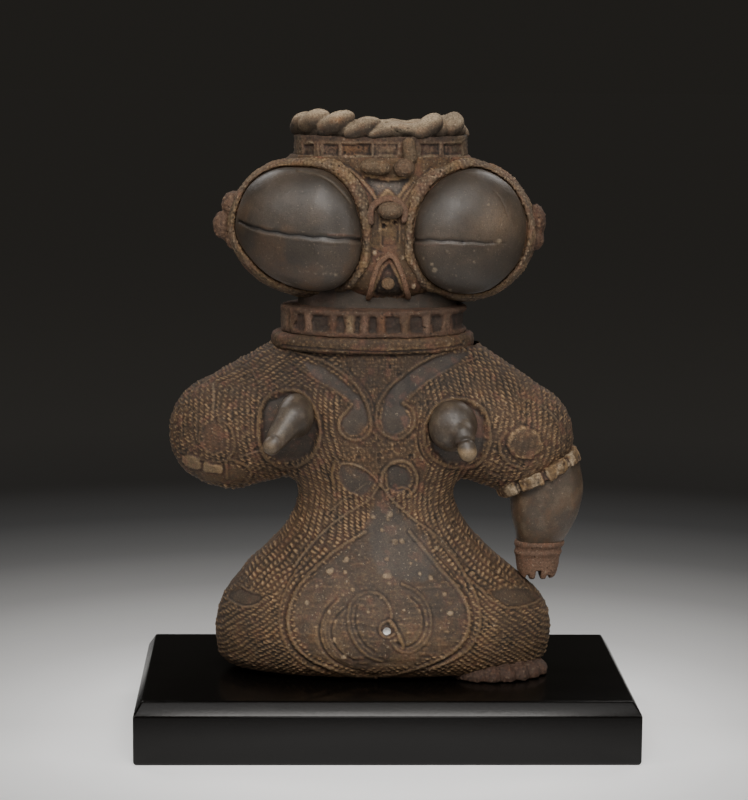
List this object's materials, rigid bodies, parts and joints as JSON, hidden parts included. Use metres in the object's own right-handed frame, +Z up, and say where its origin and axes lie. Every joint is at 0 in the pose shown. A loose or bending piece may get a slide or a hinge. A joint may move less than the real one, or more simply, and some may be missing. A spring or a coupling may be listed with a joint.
{
  "type": "goggle-eyed clay figurine on a display plinth",
  "caption": "Hollow hand-built clay figurine with large goggle eyes, roped crown, ladder collar, horn breasts and a broken arm, lifting off a pin on a black chamfered plinth.",
  "frame": {"origin": "centre of the plinth's underside, on the surface it stands on", "axes": "+Z up; the figure faces -Y; +X is to the right of someone looking at its face"},
  "size_m": [0.214, 0.13, 0.271],
  "materials": {
    "clay_brown": "matte",
    "clay_burnished": "satin",
    "clay_grey": "matte",
    "clay_red": "matte",
    "clay_ochre": "matte",
    "lacquered_wood": "satin",
    "steel": "satin",
    "foam": "matte"
  },
  "bodies": {
    "plinth": {"plinth_block": "lacquered_wood", "mount_rod": "steel", "mount_washer": "steel", "mount_nut": "steel", "mount_sleeve": "foam"},
    "figure": {"crown_wall": "clay_grey", "crown_rope": "clay_grey", "crown_lug": "clay_grey", "right_forehead_pellet": "clay_grey", "left_forehead_pellet": "clay_grey", "right_eye_rim": "clay_grey", "left_eye_rim": "clay_grey", "nose_bridge": "clay_grey", "right_eye": "clay_burnished", "left_eye": "clay_burnished", "right_breast": "clay_burnished", "left_breast": "clay_burnished", "left_forearm": "clay_burnished", "lower_neck_ring": "clay_burnished", "neck": "clay_burnished", "belly_panel": "clay_burnished", "neck_collar": "clay_red", "left_hand": "clay_red", "left_foot": "clay_red", "right_ear_lug": "clay_red", "left_ear_lug": "clay_red", "mouth_arch": "clay_red", "navel_ring": "clay_ochre", "mouth_pellet": "clay_ochre", "left_armband": "clay_ochre", "right_armband": "clay_ochre", "right_leg": "clay_brown", "left_leg": "clay_brown", "rump_panel": "clay_brown", "torso_shell": "clay_brown", "right_upper_arm": "clay_brown", "left_upper_arm": "clay_brown", "right_breast_ring": "clay_brown", "left_breast_ring": "clay_brown", "head_shell": "clay_brown", "nose_knob": "clay_brown"}
  },
  "joints": [
    {"name": "figure_lift", "type": "slide", "parent": "plinth", "child": "figure", "axis": [0, 0, 1], "range_m": [0, 0.06]}
  ]
}
